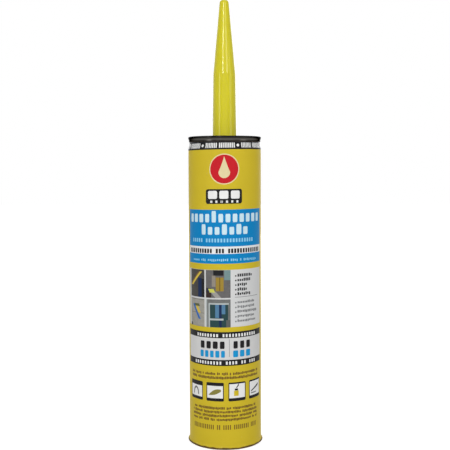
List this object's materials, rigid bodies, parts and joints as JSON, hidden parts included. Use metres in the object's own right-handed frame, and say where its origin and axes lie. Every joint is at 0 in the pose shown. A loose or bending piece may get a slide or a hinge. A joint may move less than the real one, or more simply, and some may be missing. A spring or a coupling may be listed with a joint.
{
  "type": "caulk tube",
  "caption": "Sealant cartridge: flared fibre tube with a printed label, crimped steel end, long tapered nozzle with a closed tip, and a sliding plunger behind the sealant.",
  "frame": {"origin": "centre of the rear rim, on the plane that the cartridge stands on", "axes": "+Z along the cartridge's axis towards the nozzle, -Y through the middle of the label's front"},
  "size_m": [0.052, 0.0522, 0.3045],
  "materials": {
    "tube_board": "matte",
    "label_paper": "satin",
    "end_steel": "polished",
    "nozzle_plastic": "gloss",
    "seal_foil": "satin",
    "sealant_paste": "satin",
    "plunger_plastic": "satin"
  },
  "bodies": {
    "cartridge": {"cartridge_tube": "tube_board", "printed_label": "label_paper", "steel_end": "end_steel", "nozzle": "nozzle_plastic", "nozzle_seal": "seal_foil", "sealant": "sealant_paste"},
    "plunger": {"plunger": "plunger_plastic"}
  },
  "joints": [
    {"name": "plunger_slide", "type": "slide", "parent": "cartridge", "child": "plunger", "axis": [0, 0, 1], "range_m": [0, 0.1748], "deforming": ["sealant"]}
  ]
}
